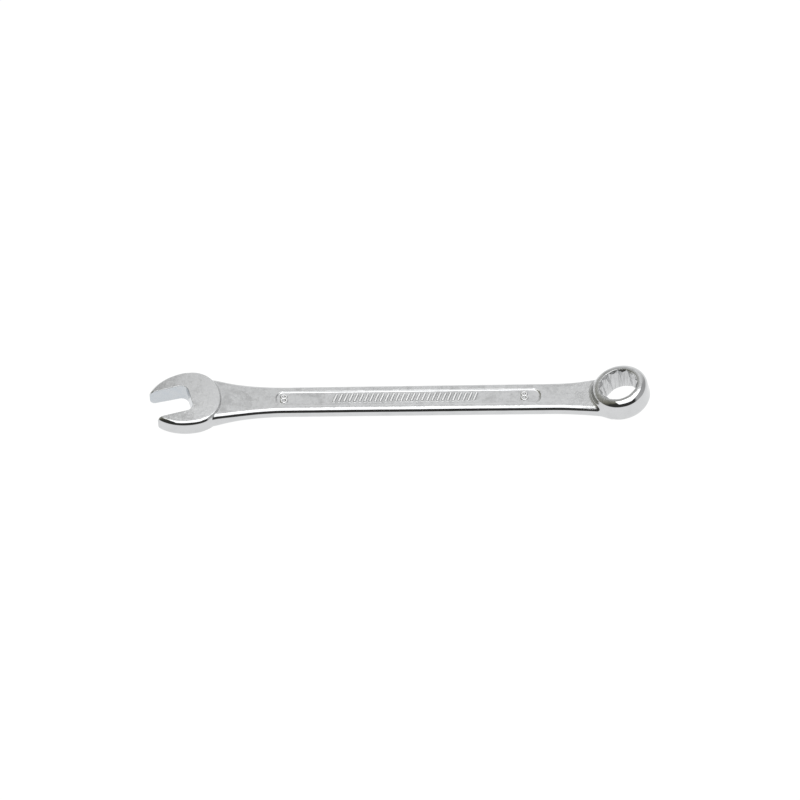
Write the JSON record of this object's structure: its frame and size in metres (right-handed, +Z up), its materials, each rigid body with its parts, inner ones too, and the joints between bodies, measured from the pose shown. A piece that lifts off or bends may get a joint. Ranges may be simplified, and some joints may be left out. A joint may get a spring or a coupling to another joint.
{
  "type": "combination wrench",
  "caption": "Slim plated combination wrench: skewed open jaw at one end, tilted twelve-point ring at the other, round-sided shank with a recessed panel.",
  "frame": {"origin": "half way along the wrench, on the shank's centre line, at the surface it lies on", "axes": "+X along the shank from the open end to the ring end, +Z up out of the surface it lies on, +Y across the shank"},
  "size_m": [0.1212, 0.0173, 0.0088],
  "materials": {
    "satin_chrome": "satin nickel-chrome plating on forged steel, blasted flat faces and polished round sides"
  },
  "bodies": {
    "root": {"open_end_head": "satin_chrome", "shank": "satin_chrome", "ring_head": "satin_chrome"}
  },
  "joints": []
}
